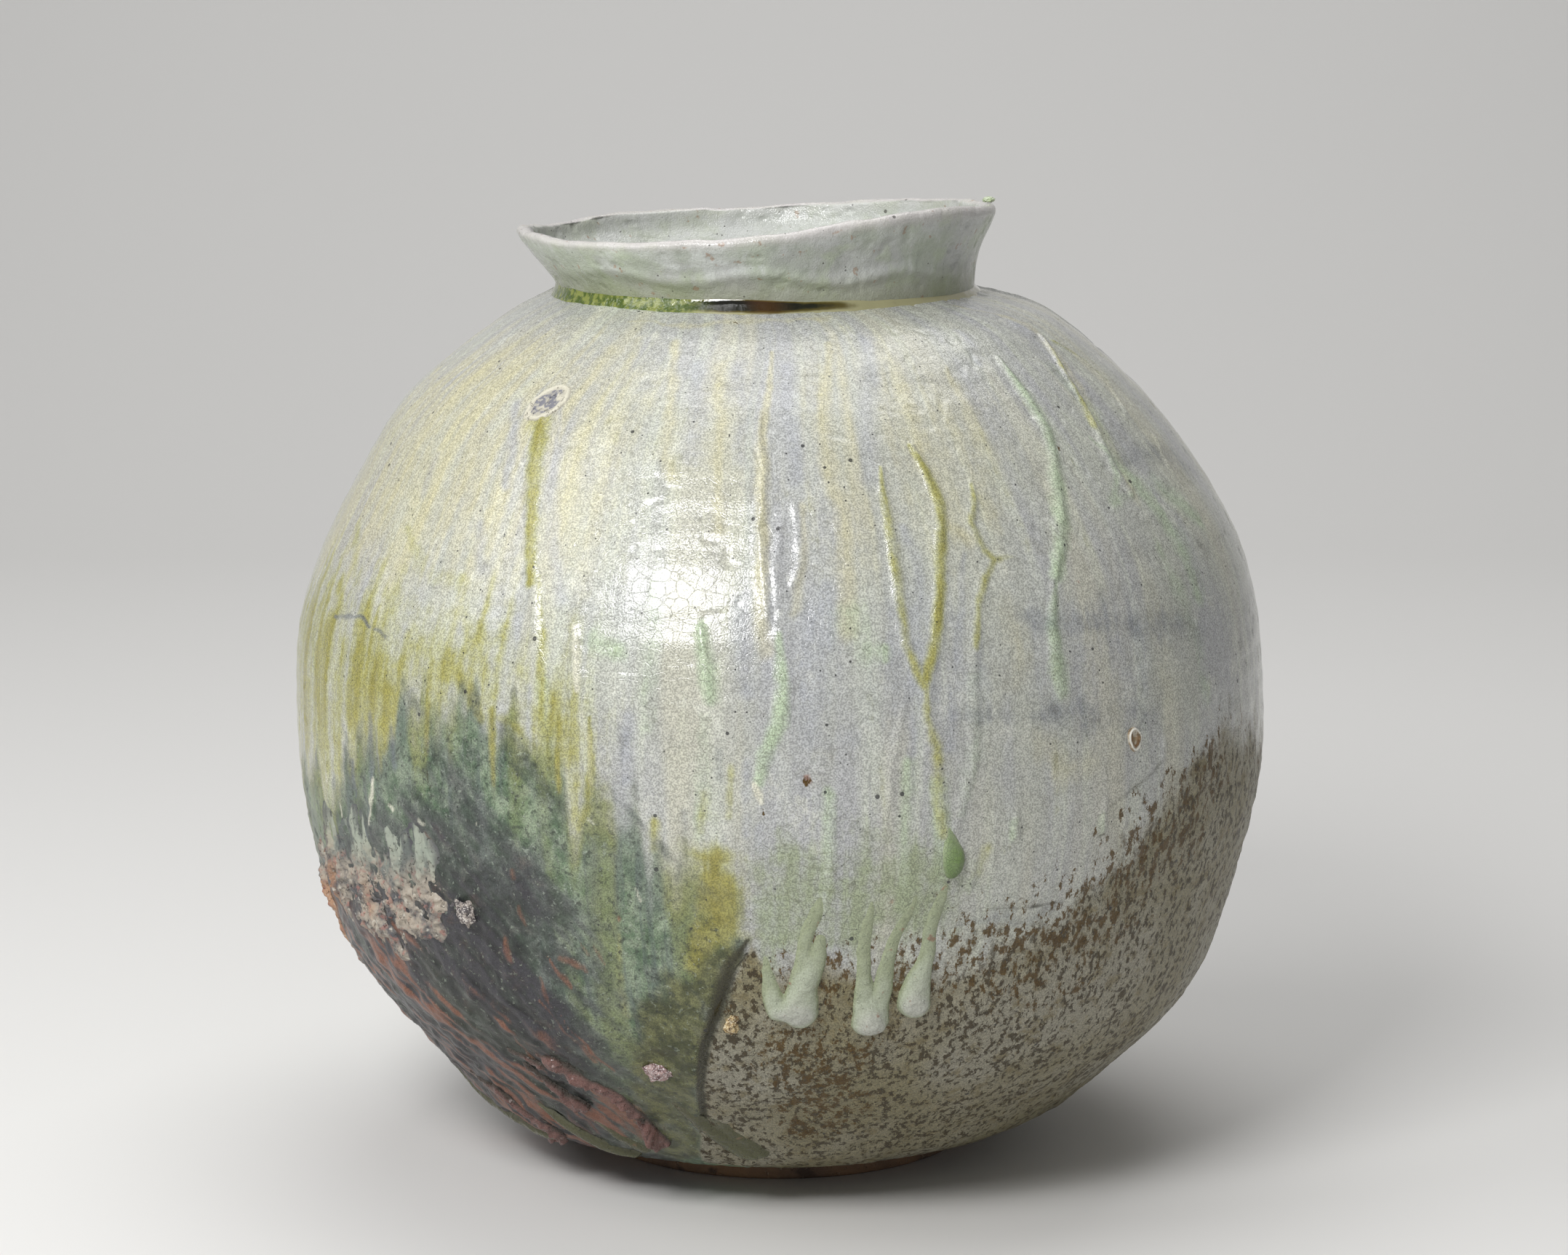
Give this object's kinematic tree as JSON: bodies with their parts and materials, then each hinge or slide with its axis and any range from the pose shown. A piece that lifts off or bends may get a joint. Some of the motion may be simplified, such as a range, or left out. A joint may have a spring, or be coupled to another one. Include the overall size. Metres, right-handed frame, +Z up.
{
  "type": "moon jar",
  "caption": "Large round wood-fired jar of two joined thrown bowls with a warped flared collar, a trimmed foot ring and fused ash glaze runs, drips and ember crust.",
  "frame": {"origin": "centre of the foot ring on the surface that the jar stands on", "axes": "+Z up, through the mouth; -Y towards the side shown in the picture, with +X to its right"},
  "size_m": [0.4213, 0.4213, 0.4101],
  "materials": {
    "foot_clay": "matte, bare fired clay",
    "lower_ash_glaze": "satin ash glaze, charred on the ember side",
    "upper_ash_glaze": "gloss ash glaze",
    "seam_clay": "slip under glaze",
    "collar_glaze": "gloss ash glaze",
    "pool_glass": "thick clear green ash glass",
    "run_glaze": "gloss ash glaze run",
    "drop_glass": "clear green ash glass",
    "white_glaze": "thick milky glaze",
    "slag": "satin charred glaze",
    "flow_glaze": "gloss dark green glaze",
    "ember_crust": "rough fused ember crust",
    "wad_clay": "matte wad clay",
    "body_stone": "rough feldspar grit"
  },
  "bodies": {
    "root": {"centre_run": "run_glaze", "collar_glass_pool": "pool_glass", "crust_stone": "body_stone", "dark_tip_run": "run_glaze", "edge_stone": "body_stone", "ember_crust": "ember_crust", "foot_drip_left": "slag", "foot_drip_middle": "slag", "foot_drip_right": "slag", "foot_ring": "foot_clay", "glaze_flow_sheet": "flow_glaze", "green_glass_drop": "drop_glass", "green_shoulder_run": "run_glaze", "inner_run": "run_glaze", "lip_nib": "collar_glaze", "lower_bowl": "lower_ash_glaze", "neck_collar": "collar_glaze", "pale_run": "run_glaze", "popped_stone": "body_stone", "scar_run": "run_glaze", "seam_slip": "seam_clay", "shoulder_wad_scar": "wad_clay", "slag_drips": "slag", "slag_stone": "body_stone", "upper_bowl": "upper_ash_glaze", "white_drip_left": "white_glaze", "white_drip_middle": "white_glaze", "white_drip_right": "white_glaze", "yellow_run_left": "run_glaze", "yellow_run_right": "run_glaze", "yellow_shoulder_run": "run_glaze"}
  },
  "joints": []
}
